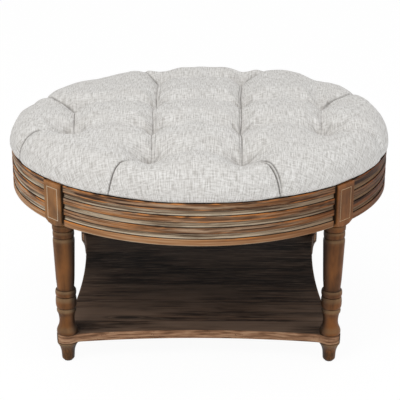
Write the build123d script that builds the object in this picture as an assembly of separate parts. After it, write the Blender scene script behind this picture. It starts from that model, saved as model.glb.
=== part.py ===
"""Round tufted ottoman coffee table on four turned legs with a low shelf.

Millimetres, +Z up. The origin is on the floor under the middle of the seat.
The front looks along -Y and the four legs stand on the diagonals.
"""
from build123d import *
import math
import os

os.makedirs("parts", exist_ok=True)

# Heights of the stack, from the floor up
glide_thickness = 2.0
foot_height = 42.0
shelf_thickness = 18.0
column_height = 229.0
block_height = 104.0
cushion_height = 83.0

# Legs: square stock, turned below the apron
leg_stock = 50.0
block_proud = 4.0
leg_count = 4
pommel_height = 13.0
panel_margin = 9.0
panel_groove_width = 3.0
panel_groove_depth = 1.2
block_edge_break = 1.5

# Apron: a bent ring in four lengths between the leg blocks
apron_height = 85.0
apron_radius = 402.0
apron_thickness = 22.0
reed_count = 4
band_height = 9.2
band_depth = 3.0

# Shelf: a square board with hollowed sides that flare out to round corners at the legs
shelf_corner_margin = 16.6
shelf_side_hollow = 24.0
shelf_corner_radius = 21.6
shelf_flare_radius = 60.0
shelf_tip_radius = 10.0

# Seat
board_inset = 10.0
board_thickness = 15.0
cover_hem_thickness = 1.5
cover_hem_width = 60.0
cushion_overhang = 2.0
cushion_roll_height = 9.0
cushion_roll_inset = 8.0
cushion_shoulder_radius = 60.0
crown_flat_radius = 6.0
crown_facet_count = 5
shoulder_facet_count = 4
foam_thickness = 32.0
foam_inset = 4.0
foam_bevel = 43.0
dust_cover_thickness = 0.7
dust_cover_margin = 4.0

# Tufting: a four by four grid without its corners
tuft_grid = 4
tuft_spacing_share = 0.4307
tuft_depth = 51.0
tuft_foot_radius = 4.0
tuft_waist_radius = 21.0
tuft_waist_depth = 26.0
tuft_mouth_radius = 52.0
tuft_side_count = 8
tuft_well_width = 60.0
tuft_well_floor = 3.0
fold_half_width = 34.0
fold_depth = 15.0
fold_puff_height = 3.0
rim_fold_angle = 22.5
rim_fold_depth = 12.0
rim_fold_bend_depth = 10.0
rim_fold_bend_angle = 50.0
rim_fold_end_depth = 3.0
rim_fold_end_angle = 5.0
rim_fold_overlap = 16.0
tie_width = 6.0
tie_thickness = 1.2
toggle_length = 24.0
toggle_width = 10.0
toggle_thickness = 1.3

# Corner braces inside the apron
brace_height = 40.0
brace_depth = 24.0
brace_half_width = 92.0
brace_drop = 2.0
seat_screw_offset = 30.0

# Loose tenons between the apron and the blocks
tenon_thickness = 8.0
tenon_height = 50.0
tenon_length = 36.0

# Fasteners; small rods and their bores are drawn with a few flats
rod_side_count = 8
glide_side_count = 12
dowel_screw_radius = 4.0
dowel_screw_bite = 30.0
screw_radius = 2.0
screw_head_radius = 4.0
screw_head_height = 2.4
seat_screw_length = 42.0
seat_screw_bite = 11.0
brace_screw_bite = 12.0
brace_screw_offset = 72.0
brace_bolt_radius = 3.0
brace_bolt_bite = 14.0
brace_bolt_head_radius = 6.0
brace_bolt_head_height = 4.0
glide_radius = 9.0

# Clearances
fit_clearance = 0.15
soft_clearance = 0.3
overrun = 40.0

# Turned outlines from the bottom up: radius as a share of half the stock,
# height as a share of the length. The column has a vase and ring, a ball, a
# bead, the tapered shaft and two rings; the foot has a tapered stump and a flange.
column_turning_shares = (
    (0.856, 0.000), (0.856, 0.032), (0.616, 0.110), (0.784, 0.206), (0.712, 0.216),
    (0.844, 0.248), (0.844, 0.299), (0.712, 0.329),
    (0.840, 0.346), (0.840, 0.379), (0.696, 0.398),
    (0.876, 0.853), (0.776, 0.879), (0.848, 0.894), (0.848, 0.926), (0.776, 0.942),
    (0.896, 0.959), (0.896, 1.000))
foot_turning_shares = ((0.500, 0.00), (0.544, 0.44), (0.856, 0.89), (0.856, 1.00))
pommel_foot_share = 0.816

# Levels worked out from the stack
foot_level = glide_thickness
shelf_level = foot_level + foot_height
column_level = shelf_level + shelf_thickness
block_level = column_level + column_height
seat_level = block_level + block_height
board_level = seat_level + cover_hem_thickness
foam_level = board_level + board_thickness
crown_level = seat_level + cushion_height
tuft_level = crown_level - tuft_depth
apron_level = seat_level - apron_height
dust_level = seat_level - dust_cover_thickness
brace_level = dust_level - brace_drop - brace_height
brace_middle = brace_level + brace_height / 2

# Plan places worked out from the sizes
half_stock = leg_stock / 2
leg_circle_radius = apron_radius + block_proud - half_stock
leg_offset = leg_circle_radius / math.sqrt(2)
shelf_reach = leg_offset + shelf_corner_margin
board_radius = apron_radius - board_inset
cushion_radius = apron_radius + cushion_overhang
foam_bottom_radius = board_radius - foam_inset
foam_top_radius = foam_bottom_radius - foam_bevel
tuft_spacing = tuft_spacing_share * cushion_radius
apron_inner_radius = apron_radius - apron_thickness
reed_height = (apron_height - (reed_count - 1) * band_height) / reed_count
block_inner_face = leg_circle_radius - half_stock
brace_inner_face = block_inner_face - brace_depth
seat_screw_distance = (brace_inner_face + block_inner_face) / 2
hem_radius = cushion_radius - cushion_roll_inset
hem_inner_radius = hem_radius - cover_hem_width
dust_radius = block_inner_face - dust_cover_margin
tenon_radius = (apron_inner_radius + apron_radius - band_depth) / 2
quarter = 90
hex_side_count = 6
corners = ("rear_right", "rear_left", "front_left", "front_right")
diagonals = [quarter * (i + 1 / 2) for i in range(leg_count)]

# The crown is a wide arc from a small flat at the top that runs smoothly into the shoulder arc
shoulder_centre = cushion_radius - cushion_shoulder_radius
roll_level = seat_level + cushion_roll_height
crown_rise = crown_level - roll_level
crown_reach = shoulder_centre - crown_flat_radius
crown_radius = ((crown_reach ** 2 + crown_rise ** 2 - cushion_shoulder_radius ** 2)
                / (2 * (crown_rise - cushion_shoulder_radius)))
shoulder_angle = math.asin(crown_reach / (crown_radius - cushion_shoulder_radius))


def save(name, *solids):
    """Write one node; several solids go in as a group."""
    shape = solids[0] if len(solids) == 1 else Compound(children=list(solids))
    shape.label = name
    export_step(shape, f"parts/{name}.step")


def turned(points):
    """Revolve an outline of (radius, height) points, from the bottom up, about Z."""
    with BuildSketch(Plane.XZ) as sketch:
        with BuildLine():
            Polyline((0, points[0][1]), *points, (0, points[-1][1]), close=True)
        make_face()
    return revolve(sketch.sketch, Axis.Z)


def from_shares(shares, length, level):
    """Turn shares of the stock and of a length into a turned outline on a level."""
    return [(radius * half_stock, level + height * length) for radius, height in shares]


def on_level(radius, height, level):
    """Upright cylinder that stands on a level."""
    return Pos(0, 0, level) * Cylinder(radius, height, align=(Align.CENTER, Align.CENTER, Align.MIN))


def block(length, width, height, level):
    """Upright box that stands on a level."""
    return Pos(0, 0, level) * Box(length, width, height, align=(Align.CENTER, Align.CENTER, Align.MIN))


def rod(radius, length, level=0, side_count=rod_side_count):
    """Small upright rod with a few flats, standing on a level."""
    return Pos(0, 0, level) * extrude(RegularPolygon(radius, side_count), length)


def on_diagonal(angle, distance=0, side=0, level=0):
    """Frame on a diagonal: X points outward, Y along the rim."""
    return Rot(0, 0, angle) * Pos(distance, side, level)


def at_legs(shape):
    """Copy a shape that is centred on a leg axis to all four legs."""
    return [on_diagonal(angle, leg_circle_radius) * shape for angle in diagonals]


def outward(shape):
    """Lay an upright shape down so that it runs outward, along +X."""
    return Rot(0, quarter, 0) * shape


def both_sides(shape):
    """A shape in a diagonal's frame with its mirror image across the diagonal."""
    return [shape, mirror(shape, Plane.XZ)]


# Legs and feet

def make_block():
    """Square leg block: turned shoulders below, a routed panel on its outward face."""
    stock = block(leg_stock, leg_stock, block_height, block_level)
    stock = chamfer(stock.edges().filter_by(Axis.Z), block_edge_break)
    corner_radius = half_stock * math.sqrt(2)
    shoulder = turned([(pommel_foot_share * half_stock, block_level),
                       (corner_radius, block_level + pommel_height), (corner_radius, seat_level)])
    panel_height = apron_height - 2 * panel_margin
    panel_width = leg_stock - 2 * panel_margin
    groove = Box(2 * panel_groove_depth, panel_width, panel_height)
    groove -= Box(2 * panel_groove_depth, panel_width - 2 * panel_groove_width,
                  panel_height - 2 * panel_groove_width)
    groove = Pos(half_stock, 0, apron_level + apron_height / 2) * groove
    screw_bore = rod(dowel_screw_radius + fit_clearance, dowel_screw_bite + fit_clearance, block_level)
    bolt_bore = Pos(-half_stock, 0, brace_middle) * outward(
        rod(brace_bolt_radius + fit_clearance, brace_bolt_bite + fit_clearance))
    return (stock & shoulder) - groove - screw_bore - bolt_bore - both_sides(make_tenon(2 * fit_clearance))


def make_tenon(extra=0):
    """Loose tenon across the +Y side of a block, in the leg's own frame."""
    return Pos(tenon_radius - leg_circle_radius, half_stock, apron_level + apron_height / 2) * Box(
        tenon_thickness + extra, tenon_length + extra, tenon_height + extra)


def make_column():
    """Turned leg column, bored at each end for a dowel screw."""
    column = turned(from_shares(column_turning_shares, column_height, column_level))
    radius = dowel_screw_radius + fit_clearance
    depth = dowel_screw_bite + fit_clearance
    return column - rod(radius, depth, column_level) - rod(radius, depth, block_level - depth)


def make_foot():
    """Turned foot under the shelf, bored for its dowel screw."""
    depth = dowel_screw_bite + fit_clearance
    foot = turned(from_shares(foot_turning_shares, foot_height, foot_level))
    return foot - rod(dowel_screw_radius + fit_clearance, depth, shelf_level - depth)


def make_legs():
    """Blocks, columns and feet, and the tenons and screws that join them."""
    for corner, placed in zip(corners, at_legs(make_block())):
        save(f"leg_block_{corner}", placed)
    save("leg_columns", *at_legs(make_column()))
    save("feet", *at_legs(make_foot()))
    save("apron_tenons", *[one for tenon in both_sides(make_tenon()) for one in at_legs(tenon)])
    save("leg_screws", *at_legs(rod(dowel_screw_radius, 2 * dowel_screw_bite, block_level - dowel_screw_bite)))
    save("foot_screws", *at_legs(rod(dowel_screw_radius, 2 * dowel_screw_bite + shelf_thickness,
                                     shelf_level - dowel_screw_bite)))
    save("glides", *at_legs(rod(glide_radius, glide_thickness, side_count=glide_side_count)))


# Apron

def apron_outline():
    """Section of the apron ring: flat reeds that stand out between sunk bands."""
    points = [(apron_inner_radius, apron_level)]
    level = apron_level
    for i in range(reed_count):
        points += [(apron_radius, level), (apron_radius, level + reed_height)]
        level += reed_height
        if i < reed_count - 1:
            points += [(apron_radius - band_depth, level), (apron_radius - band_depth, level + band_height)]
            level += band_height
    points.append((apron_inner_radius, level))
    return points


def make_apron():
    """Quarter of the ring, centred on +X, cut square against the leg blocks."""
    with BuildSketch(Plane.XZ) as sketch:
        with BuildLine():
            Polyline(*apron_outline(), close=True)
        make_face()
    apron = Rot(0, 0, -quarter / 2) * revolve(sketch.sketch, Axis.Z, revolution_arc=quarter)
    leg_space = Pos(leg_circle_radius, 0, 0) * block(2 * leg_stock, leg_stock, apron_height, apron_level)
    tenon = Pos(leg_circle_radius, 0, 0) * make_tenon(2 * fit_clearance)
    for cut in [leg_space] + both_sides(tenon) + both_sides(brace_screw_shank(fit_clearance)):
        apron = apron - Rot(0, 0, quarter / 2) * cut - Rot(0, 0, -quarter / 2) * cut
    return apron


def make_aprons():
    """The four lengths of the apron ring."""
    for i, side in enumerate(("right", "back", "left", "front")):
        save(f"apron_{side}", Rot(0, 0, i * quarter) * make_apron())


# Corner braces

def brace_screw_shank(extra=0):
    """Shank of a screw from a brace into the apron, in a diagonal's frame."""
    reach = math.sqrt(apron_inner_radius ** 2 - brace_screw_offset ** 2)
    length = reach + brace_screw_bite - brace_inner_face
    return Pos(brace_inner_face, brace_screw_offset, brace_middle) * outward(
        rod(screw_radius + extra, length + extra))


def make_brace_screw():
    """Hex-headed screw from a brace into the apron."""
    head = Pos(brace_inner_face - screw_head_height, brace_screw_offset, brace_middle) * outward(
        rod(screw_head_radius, screw_head_height, side_count=hex_side_count))
    return brace_screw_shank() + head


def make_brace_bolt():
    """Hex-headed bolt through a brace into the leg block."""
    shank = outward(rod(brace_bolt_radius, brace_depth + brace_bolt_bite))
    head = Pos(-brace_bolt_head_height, 0, 0) * outward(
        rod(brace_bolt_head_radius, brace_bolt_head_height, side_count=hex_side_count))
    return Pos(brace_inner_face, 0, brace_middle) * (shank + head)


def seat_screw_shank(extra=0):
    """Upright screw through a brace into the seat board, in a diagonal's frame."""
    tip = board_level + seat_screw_bite
    return Pos(seat_screw_distance, seat_screw_offset, 0) * rod(
        screw_radius + extra, seat_screw_length + extra, tip - seat_screw_length)


def seat_screw_head(height, extra=0):
    """Head of the seat screw, or the pocket that it sits in."""
    top = board_level + seat_screw_bite - seat_screw_length
    return Pos(seat_screw_distance, seat_screw_offset, 0) * rod(
        screw_head_radius + extra, height, top - height, side_count=hex_side_count)


def make_brace():
    """Screwed corner block, fitted round the back of the leg block."""
    reach = apron_inner_radius - brace_inner_face
    plate = Pos(brace_inner_face + reach / 2, 0, 0) * block(
        reach, 2 * brace_half_width, brace_height, brace_level)
    leg_space = Pos(leg_circle_radius, 0, 0) * block(leg_stock, leg_stock, brace_height, brace_level)
    brace = (plate & on_level(apron_inner_radius, brace_height, brace_level)) - leg_space
    brace -= Pos(brace_inner_face, 0, brace_middle) * outward(
        rod(brace_bolt_radius + fit_clearance, brace_depth))
    pocket = board_level + seat_screw_bite - seat_screw_length - brace_level
    brace -= seat_screw_head(pocket, fit_clearance)
    return brace - seat_screw_shank(fit_clearance) - both_sides(brace_screw_shank(fit_clearance))


def make_braces():
    """Four corner braces with their bolts and screws."""
    brace = make_brace()
    for corner, angle in zip(corners, diagonals):
        save(f"corner_brace_{corner}", on_diagonal(angle) * brace)
    seat_screw = seat_screw_shank() + seat_screw_head(screw_head_height)
    for name, pieces in (("brace_bolts", [make_brace_bolt()]), ("seat_screws", [seat_screw]),
                         ("brace_screws", both_sides(make_brace_screw()))):
        save(name, *[on_diagonal(angle) * piece for angle in diagonals for piece in pieces])


# Shelf

def meets_hollow(edge):
    """Whether an upright edge is where a round corner meets a hollowed side."""
    place = edge.center()
    nearer, farther = sorted((abs(place.X), abs(place.Y)))
    return nearer < leg_offset < farther


def make_shelf():
    """Square board with hollowed sides that flare out to corners rounded round the leg axes."""
    shelf = block(2 * shelf_reach, 2 * shelf_reach, shelf_thickness, shelf_level)
    hollow_radius = (shelf_reach ** 2 + shelf_side_hollow ** 2) / (2 * shelf_side_hollow)
    hollow = Pos(shelf_reach - shelf_side_hollow + hollow_radius, 0, 0) * on_level(
        hollow_radius, shelf_thickness, shelf_level)
    for i in range(leg_count):
        shelf -= Rot(0, 0, i * quarter) * hollow
    shelf = fillet(shelf.edges().filter_by(Axis.Z), shelf_tip_radius)
    for rounded in at_legs(on_level(shelf_corner_radius, shelf_thickness, shelf_level)):
        shelf = shelf + rounded
    meetings = [edge for edge in shelf.edges().filter_by(Axis.Z) if meets_hollow(edge)]
    shelf = fillet(meetings, shelf_flare_radius)
    for hole in at_legs(rod(dowel_screw_radius + fit_clearance, shelf_thickness, shelf_level)):
        shelf = shelf - hole
    return shelf


# Seat

def crown_height(radius):
    """Level of the smooth crown at a distance from the middle."""
    return crown_level - crown_radius + math.sqrt(crown_radius ** 2 - (radius - crown_flat_radius) ** 2)


def crown_point(angle):
    """Point of the crown's section at an angle from upright."""
    radius = crown_flat_radius + crown_radius * math.sin(angle)
    return (radius, crown_height(radius))


def shoulder_point(angle, depth=0):
    """Point of the shoulder's section at an angle up from level, on or below its surface."""
    reach = cushion_shoulder_radius - depth
    return (shoulder_centre + reach * math.cos(angle), roll_level + reach * math.sin(angle))


def smooth_cushion():
    """Cushion before tufting: a drawn-in hem, a round shoulder and a low crown, in narrow facets."""
    shoulder = [shoulder_point((math.pi / 2 - shoulder_angle) * i / shoulder_facet_count)
                for i in range(shoulder_facet_count)]
    crown = [crown_point(shoulder_angle * (1 - i / crown_facet_count)) for i in range(crown_facet_count + 1)]
    return turned([(hem_radius, seat_level), *shoulder, *crown])


def tuft_places():
    """Grid points of the tufting, without the four corners of the grid."""
    offsets = [(i - (tuft_grid - 1) / 2) * tuft_spacing for i in range(tuft_grid)]
    corner = max(offsets)
    return [(x, y) for x in offsets for y in offsets if min(abs(x), abs(y)) < corner]


def faceted(rings, side_count):
    """Solid with flat sides between level polygons, given as (radius, level) from the bottom up."""
    angles = [2 * math.pi * (i + 1 / 2) / side_count for i in range(side_count)]
    loops = [[(radius * math.cos(angle), radius * math.sin(angle), level) for angle in angles]
             for radius, level in rings]
    outlines = [loops[0], loops[-1]]
    for lower, upper in zip(loops, loops[1:]):
        outlines += [(lower[i - 1], lower[i], upper[i], upper[i - 1]) for i in range(side_count)]
    return Solid(Shell([Face(Wire.make_polygon(outline)) for outline in outlines]))


def tuft_pit(x, y):
    """Faceted funnel that a tuft pulls into the cushion, steep at its foot."""
    mouth = crown_height(math.hypot(x, y))
    flare = (tuft_mouth_radius - tuft_waist_radius) / tuft_waist_depth
    rings = ((tuft_foot_radius, tuft_level), (tuft_waist_radius, mouth - tuft_waist_depth),
             (tuft_mouth_radius + flare * overrun, mouth + overrun))
    return Pos(x, y, 0) * faceted(rings, tuft_side_count)


def fold(start, end, before=0, after=0):
    """Cutter for a fold between two puffed sides, along a crease line."""
    along = Vector(*end) - Vector(*start)
    plane = Plane(origin=start, x_dir=along.cross(Vector(0, 0, 1)), z_dir=along)
    rise = math.copysign(1, plane.y_dir.Z)
    chord = math.hypot(fold_half_width, fold_depth)
    slope = math.atan2(fold_depth, fold_half_width) - 2 * math.atan(2 * fold_puff_height / chord)
    lip = (fold_half_width + overrun * math.cos(slope), fold_depth + overrun * math.sin(slope))
    middle = (fold_half_width / 2 - fold_puff_height * fold_depth / chord,
              fold_depth / 2 + fold_puff_height * fold_half_width / chord)
    with BuildSketch(plane) as sketch:
        with BuildLine():
            for side in (-1, 1):
                brow = (side * fold_half_width, rise * fold_depth)
                ThreePointArc((0, 0), (side * middle[0], rise * middle[1]), brow)
                Polyline(brow, (side * lip[0], rise * lip[1]), (side * lip[0], rise * (lip[1] + overrun)))
            Line((-lip[0], rise * (lip[1] + overrun)), (lip[0], rise * (lip[1] + overrun)))
        make_face()
    unit = along.normalized()
    cutter = extrude(sketch.sketch, amount=along.length + before + after, dir=unit)
    return Pos(*(unit * -before)) * cutter


def grid_folds():
    """One fold between each pair of neighbouring tufts."""
    places = tuft_places()
    folds = []
    for x, y in places:
        for other in ((x + tuft_spacing, y), (x, y + tuft_spacing)):
            if other in places:
                level = crown_height(math.hypot(x, y)) - fold_depth
                other_level = crown_height(math.hypot(*other)) - fold_depth
                folds.append(fold((x, y, level), (*other, other_level)))
    return folds


def rim_point(azimuth, depth, lean):
    """Point below the shoulder's surface, at an azimuth and an angle up from level."""
    radius, level = shoulder_point(math.radians(lean), depth)
    return (radius * math.cos(azimuth), radius * math.sin(azimuth), level)


def rim_folds():
    """Folds from the outer tufts over the shoulder to the hem."""
    folds = []
    for x, y in tuft_places():
        if math.hypot(x, y) < tuft_spacing:
            continue
        azimuth = math.atan2(y, x)
        axis = round(azimuth / math.radians(quarter)) * math.radians(quarter)
        angle = axis + math.copysign(math.radians(rim_fold_angle), azimuth - axis)
        start = (x, y, crown_height(math.hypot(x, y)) - rim_fold_depth)
        bend = rim_point(angle, rim_fold_bend_depth, rim_fold_bend_angle)
        end = rim_point(angle, rim_fold_end_depth, rim_fold_end_angle)
        folds.append(fold(start, bend, after=rim_fold_overlap))
        folds.append(fold(bend, end, before=rim_fold_overlap, after=rim_fold_overlap))
    return folds


def foam_body(extra=0):
    """Foam slab with a bevelled rim and square wells at the tufts."""
    foam = turned([(foam_bottom_radius + extra, foam_level),
                   (foam_top_radius + extra, foam_level + foam_thickness + extra)])
    floor = tuft_level - tuft_well_floor - soft_clearance + extra
    well = block(tuft_well_width + 2 * (soft_clearance - extra), tuft_well_width + 2 * (soft_clearance - extra),
                 foam_thickness, floor)
    for x, y in tuft_places():
        foam -= Pos(x, y, 0) * well
    return foam


def tie_slot(x, y, extra=0):
    """Flat tie that runs from the seat board's underside up to a tuft."""
    bottom = board_level - toggle_thickness
    return Pos(x, y, 0) * block(tie_width + 2 * extra, tie_thickness + 2 * extra,
                                tuft_level - tuft_well_floor - bottom, bottom)


def make_tie(x, y):
    """Tufting tie with a flat toggle under the seat board."""
    toggle = Pos(x, y, 0) * block(toggle_length, toggle_width, toggle_thickness, board_level - toggle_thickness)
    return tie_slot(x, y) + toggle


def make_seat():
    """Board, foam, tufted cover, ties and dust cover."""
    slots = [tie_slot(x, y, soft_clearance) for x, y in tuft_places()]
    screw_holes = [on_diagonal(angle) * seat_screw_shank(fit_clearance) for angle in diagonals]
    save("seat_board", on_level(board_radius, board_thickness, board_level) - slots - screw_holes)
    save("seat_foam", foam_body() - slots)
    save("tufting_ties", *[make_tie(x, y) for x, y in tuft_places()])
    save("dust_cover", on_level(dust_radius, dust_cover_thickness, dust_level) - screw_holes)
    pits = [tuft_pit(x, y) for x, y in tuft_places()]
    cover = smooth_cushion() - (pits + grid_folds() + rim_folds())
    cover -= on_level(hem_inner_radius, cover_hem_thickness, seat_level)
    cover -= on_level(board_radius + soft_clearance, board_thickness, board_level)
    save("seat_cover", cover - screw_holes - foam_body(soft_clearance))


make_legs()
make_aprons()
make_braces()
save("shelf", make_shelf())
make_seat()
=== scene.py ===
"""Looks of a round tufted ottoman coffee table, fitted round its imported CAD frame. Metres, +Z up."""
import math
from dataclasses import dataclass

import bmesh
import bpy
import numpy as np
from mathutils import Euler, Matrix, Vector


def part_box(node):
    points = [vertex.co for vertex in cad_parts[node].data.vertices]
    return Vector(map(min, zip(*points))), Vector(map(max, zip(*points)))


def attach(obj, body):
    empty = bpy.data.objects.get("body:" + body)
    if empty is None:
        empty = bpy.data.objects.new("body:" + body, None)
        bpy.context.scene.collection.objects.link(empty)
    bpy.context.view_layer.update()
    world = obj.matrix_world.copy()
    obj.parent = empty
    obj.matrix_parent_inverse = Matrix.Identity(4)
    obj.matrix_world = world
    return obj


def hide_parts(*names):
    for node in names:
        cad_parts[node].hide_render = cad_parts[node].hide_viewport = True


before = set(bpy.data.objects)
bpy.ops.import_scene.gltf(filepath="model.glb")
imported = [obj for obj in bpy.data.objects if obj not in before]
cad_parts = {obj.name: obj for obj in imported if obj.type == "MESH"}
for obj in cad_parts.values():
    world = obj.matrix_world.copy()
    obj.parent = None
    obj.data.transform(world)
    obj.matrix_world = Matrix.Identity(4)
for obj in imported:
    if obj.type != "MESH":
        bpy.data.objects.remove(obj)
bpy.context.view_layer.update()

CORNERS = ("rear_right", "rear_left", "front_left", "front_right")
SIDES = ("right", "back", "left", "front")
MM = 0.001


def once_round(count, offset=0):
    """Even turns once round, from +X on or from a share of a step past it."""
    return [2 * math.pi * (i + offset) / count for i in range(count)]


def polar(radius, turn):
    """Point at a radius and a turn from +X."""
    return radius * math.cos(turn), radius * math.sin(turn)


def spun(x, y, turn):
    """Point turned round the middle."""
    return x * math.cos(turn) - y * math.sin(turn), x * math.sin(turn) + y * math.cos(turn)


QUARTERS, DIAGONALS = once_round(4), once_round(4, 0.5)

# Levels and radii, read from the frame
COVER_LOW, COVER_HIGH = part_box("seat_cover")
SEAT_Z, TOP_Z = COVER_LOW.z, COVER_HIGH.z
BOARD_LOW, BOARD_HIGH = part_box("seat_board")
CUSHION_R, BOARD_R = COVER_HIGH.x, BOARD_HIGH.x
SHELF_LOW, SHELF_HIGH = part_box("shelf")
SHELF_Z, SHELF_TOP = SHELF_LOW.z, SHELF_HIGH.z
APRON_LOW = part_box("apron_front")[0]
APRON_R, APRON_Z = -APRON_LOW.y, APRON_LOW.z

# Leg blocks: how far their foot is over the frame's and their face before the apron, half their width
BLOCK_LIFT, BLOCK_PROUD, HALF_STOCK = 0.013, 0.004, 0.025
BLOCK_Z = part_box("leg_columns")[1].z + BLOCK_LIFT
LEG_CIRCLE = APRON_R + BLOCK_PROUD - HALF_STOCK


def finish_piece(piece, material_slot, *nodes):
    """Ride on the one body and stand for CAD nodes, which are hidden; material_slot is not used."""
    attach(piece, "root")
    if nodes:
        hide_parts(*nodes)


def make_piece(name, points, faces, material, uv=None, marks=None, sharp_angle=None):
    """Mesh object from points and faces, with a UV map and named marks, one value a point."""
    mesh = bpy.data.meshes.new(name)
    mesh.from_pydata([tuple(p) for p in points], [], [tuple(f) for f in faces])
    mesh.polygons.foreach_set("use_smooth", [True] * len(mesh.polygons))
    loops = np.empty(len(mesh.loops), int)
    mesh.loops.foreach_get("vertex_index", loops)
    if uv is not None:
        layer = mesh.uv_layers.new(name="Grain")
        layer.data.foreach_set("uv", np.asarray(uv, float)[loops].ravel())
    for mark, values in (marks or {}).items():
        attribute = mesh.attributes.new(mark, "FLOAT", "POINT")
        attribute.data.foreach_set("value", np.asarray(values, float))
    mesh.update()
    if sharp_angle is not None:
        mesh.set_sharp_from_angle(angle=math.radians(sharp_angle))
    piece = bpy.data.objects.new(name, mesh)
    bpy.context.scene.collection.objects.link(piece)
    mesh.materials.append(material)
    return piece


def grid_faces(rows, columns, capped=False, start=0):
    """Quads round a tube of points, row by row; capped also closes both its ends."""
    faces = []
    for i in range(rows - 1):
        for j in range(columns):
            k = (j + 1) % columns
            faces.append((i * columns + j, i * columns + k, (i + 1) * columns + k, (i + 1) * columns + j))
    if capped:
        faces.append(tuple(range(columns))[::-1])
        faces.append(tuple((rows - 1) * columns + j for j in range(columns)))
    return [tuple(start + i for i in face) for face in faces]


def soft_edge(radius, back=False):
    """Inset and rise of a rounded edge, from the flat to the upright side, or back."""
    turns = np.linspace(math.pi / 2, 0, 4) if back else np.linspace(0, math.pi / 2, 4)
    return [(radius * (1 - math.sin(t)), radius * (1 - math.cos(t))) for t in turns]


class Shader:
    """Node tree of a material or a world, with short calls for the nodes that are used here."""

    def __init__(self, name, world=False):
        self.owner = (bpy.data.worlds if world else bpy.data.materials).new(name)
        self.owner.use_nodes = True
        self.tree = self.owner.node_tree

    def put(self, socket, value):
        """Link a socket or set its value."""
        if isinstance(value, bpy.types.NodeSocket):
            self.tree.links.new(value, socket)
        elif value is not None:
            socket.default_value = value

    def node(self, kind, inputs=(), **settings):
        """Add a node with its settings and its inputs, by name or number."""
        node = self.tree.nodes.new("ShaderNode" + kind)
        for key, value in settings.items():
            setattr(node, key, value)
        for key, value in dict(inputs).items():
            self.put(node.inputs[key], value)
        return node

    def stretch(self, vector, scale):
        """Vector stretched by a scale for each axis."""
        return self.node("Mapping", {"Vector": vector, "Scale": scale}).outputs[0]

    def coordinates(self, source, scale):
        """Object or UV coordinates, stretched by a scale for each axis."""
        return self.stretch(self.node("TexCoord").outputs[source], scale)

    def axis(self, index):
        """Object coordinate along one axis."""
        return self.node("SeparateXYZ", {0: self.node("TexCoord").outputs["Object"]}).outputs[index]

    def noise(self, vector, scale=1, detail=3, rough=0.5, distortion=0):
        """Noise between nought and one."""
        return self.node("TexNoise", {"Vector": vector, "Scale": scale, "Detail": detail,
                                      "Roughness": rough, "Distortion": distortion}).outputs[0]

    def grain(self, scale, source="Object", **settings):
        """Noise on stretched object or UV coordinates."""
        return self.noise(self.coordinates(source, scale), **settings)

    def ramp(self, fac, *stops):
        """Grey or colour ramp through (place, colour) stops."""
        node = self.node("ValToRGB", {"Fac": fac})
        elements = node.color_ramp.elements
        for i, (place, colour) in enumerate(stops):
            element = elements[i] if i < len(elements) else elements.new(place)
            element.position = place
            element.color = (colour,) * 3 + (1,) if isinstance(colour, (int, float)) else (*colour, 1)
        return node.outputs[0]

    def fade(self, value, start, end):
        """Nought at the start and one at the end of a range, flat beyond."""
        return self.node("MapRange", {"Value": value, "From Min": start, "From Max": end},
                         clamp=True).outputs[0]

    def math(self, operation, a, b=0.0):
        """One sum on two values."""
        return self.node("Math", {0: a, 1: b}, operation=operation).outputs[0]

    def plus(self, a, b):
        """Sum of two values."""
        return self.math("ADD", a, b)

    def times(self, a, b):
        """Product of two values."""
        return self.math("MULTIPLY", a, b)

    def mix(self, fac, a, b, blend="MIX"):
        """Mix of two colours."""
        a, b = [(*c, 1) if isinstance(c, tuple) else c for c in (a, b)]
        node = self.node("Mix", data_type="RGBA", blend_type=blend)
        for key, value in ((0, fac), (6, a), (7, b)):
            self.put(node.inputs[key], value)
        return node.outputs[2]

    def coats(self, colour, *coats):
        """Colour under coats, each with its share and its colour."""
        for share, coat in coats:
            colour = self.mix(share, colour, coat)
        return colour

    def mark(self, name):
        """Value of a piece's named mark."""
        return self.node("Attribute", attribute_name=name).outputs["Fac"]

    def bump(self, height, strength, distance):
        """Bump normal from a height."""
        return self.node("Bump", {"Height": height, "Strength": strength, "Distance": distance}).outputs[0]

    def finish(self, colour, roughness, normal=None, **sockets):
        """Fill in the main shader and give back the material."""
        inputs = self.tree.nodes["Principled BSDF"].inputs
        self.put(inputs["Base Color"], colour)
        self.put(inputs["Roughness"], roughness)
        self.put(inputs["Normal"], normal)
        for key, value in sockets.items():
            self.put(inputs[key.replace("_", " ")], value)
        return self.owner


# Fabric

# Tufts: where they are, the lowest level of the cover there and the depth of the folds
TUFTS = {"front_left": (-0.094, -0.266), "front_right": (0.083, -0.275), "near_left": (-0.098, -0.116),
         "near_right": (0.087, -0.113), "far_left": (-0.096, 0.066), "far_right": (0.094, 0.067),
         "rear_left": (-0.094, 0.28), "rear_right": (0.099, 0.285), "left_near": (-0.264, -0.103),
         "left_far": (-0.272, 0.07), "right_near": (0.257, -0.096), "right_far": (0.267, 0.064)}
TUFT_Z = BOARD_HIGH.z + 0.0155
TUFT_DEPTH = 0.036
# Creased folds between tufts: the tufts, how crisp, and how far beside it a second crease runs
COLUMNS = ((("front_left", "near_left", "far_left", "rear_left"), 0.46, -0.008),
           (("front_right", "near_right", "far_right", "rear_right"), 0.62, 0.0052),
           (("left_near", "left_far"), 0.6, 0), (("right_near", "right_far"), 0.32, 0.0056))
COLUMN_WAIST, COLUMN_WIDTH = 0.014, 0.056
# Soft folds across them
ROWS = (("front_left", "front_right"), ("left_near", "near_left", "near_right", "right_near"),
        ("left_far", "far_left", "far_right", "right_far"), ("rear_left", "rear_right"))
ROW_DEPTH, ROW_WAIST, ROW_WIDTH = 0.034, 0.009, 0.06
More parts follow.
